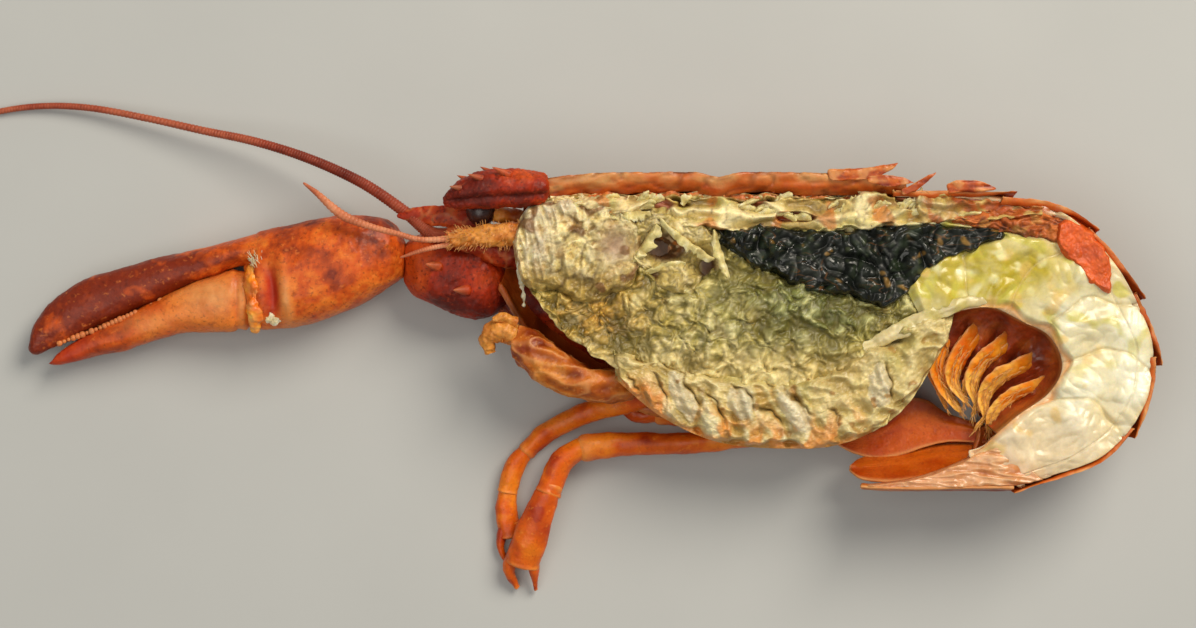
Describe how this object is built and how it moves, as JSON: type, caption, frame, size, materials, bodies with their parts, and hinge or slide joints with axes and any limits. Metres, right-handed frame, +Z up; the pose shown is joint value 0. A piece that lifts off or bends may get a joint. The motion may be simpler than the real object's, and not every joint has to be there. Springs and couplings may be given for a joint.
{
  "type": "halved cooked american lobster",
  "caption": "Right half of a cooked female American lobster, split along its length and laid cut face up, with one claw, legs, feelers, curled tail and its organs.",
  "frame": {"origin": "middle of the whole animal's outline, on the table it lies on", "axes": "+X from the head towards the tail, +Y from the belly towards the back, +Z up out of the table through the cut face"},
  "size_m": [0.36, 0.1256, 0.032],
  "materials": {
    "shell": "waxy red cooked shell",
    "dark_shell": "rough dark red shell",
    "orange_shell": "thin orange shell",
    "feeler": "ringed feeler",
    "meat": "moist cooked white meat",
    "tissue": "moist pale tissue",
    "stomach": "moist stomach wall",
    "tomalley": "soft moist curds",
    "dark_roe": "glossy grains",
    "coral": "moist grains",
    "eye": "glossy"
  },
  "bodies": {
    "root": {"carapace": "shell", "tail_ring_1": "shell", "tail_ring_2": "shell", "tail_ring_3": "shell", "tail_ring_4": "shell", "tail_ring_5": "shell", "tail_ring_6": "shell", "dark_roe": "dark_roe", "coral_roe": "coral", "stomach": "stomach", "gastric_mill": "tissue", "back_tissue": "tissue", "leg_muscle": "meat", "tomalley": "tomalley", "tail_meat_1": "meat", "tail_meat_2": "meat", "tail_meat_3": "meat", "tail_meat_4": "meat", "rostrum": "dark_shell", "eye": "eye", "eyestalk": "orange_shell", "antennule_base": "orange_shell", "antennule_outer": "feeler", "antennule_inner": "feeler", "antenna_base": "dark_shell", "antenna_scale": "dark_shell", "antenna_root": "feeler", "antenna_middle": "feeler", "antenna_tip": "feeler", "claw_carpus": "dark_shell", "claw_palm": "shell", "claw_moving_finger": "shell", "claw_merus": "dark_shell", "claw_ischium": "shell", "maxilliped": "orange_shell", "maxilliped_tip": "orange_shell", "swimmeret_1": "orange_shell", "swimmeret_2": "orange_shell", "swimmeret_3": "orange_shell", "swimmeret_4": "orange_shell", "swimmeret_5": "orange_shell", "telson": "shell", "uropod_base": "orange_shell", "uropod_inner": "orange_shell", "uropod_outer": "orange_shell", "leg_2_thigh": "orange_shell", "leg_2_shin": "orange_shell", "leg_2_hand": "orange_shell", "leg_3_thigh": "orange_shell", "leg_3_shin": "orange_shell", "leg_3_hand": "orange_shell", "leg_4_thigh": "orange_shell", "leg_4_shin": "orange_shell", "leg_4_hand": "orange_shell", "leg_5_thigh": "orange_shell", "leg_5_shin": "orange_shell", "leg_5_hand": "orange_shell"}
  },
  "joints": []
}
